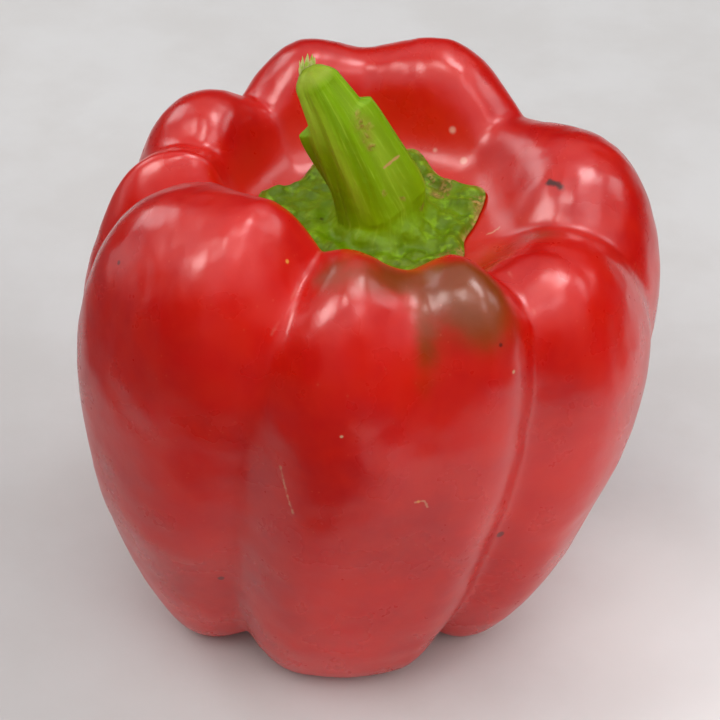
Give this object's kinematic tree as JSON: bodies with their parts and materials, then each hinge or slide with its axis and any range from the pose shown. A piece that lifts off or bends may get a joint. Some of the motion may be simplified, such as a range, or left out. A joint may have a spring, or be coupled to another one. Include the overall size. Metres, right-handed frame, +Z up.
{
  "type": "bell pepper",
  "caption": "Ripe red bell pepper standing on its lobes, with a green star-shaped calyx and a curved cut stem.",
  "frame": {"origin": "under the middle of the outline, on the surface that the feet stand on", "axes": "+Z up from the feet to the stem, -Y towards the side with the broad front lobe"},
  "size_m": [0.0865, 0.0818, 0.0906],
  "materials": {
    "skin": "smooth waxy skin with a soft gloss",
    "green_stalk": "fibrous, half matt, with corky flecks"
  },
  "bodies": {
    "root": {"fruit": "skin", "stalk": "green_stalk"}
  },
  "joints": []
}
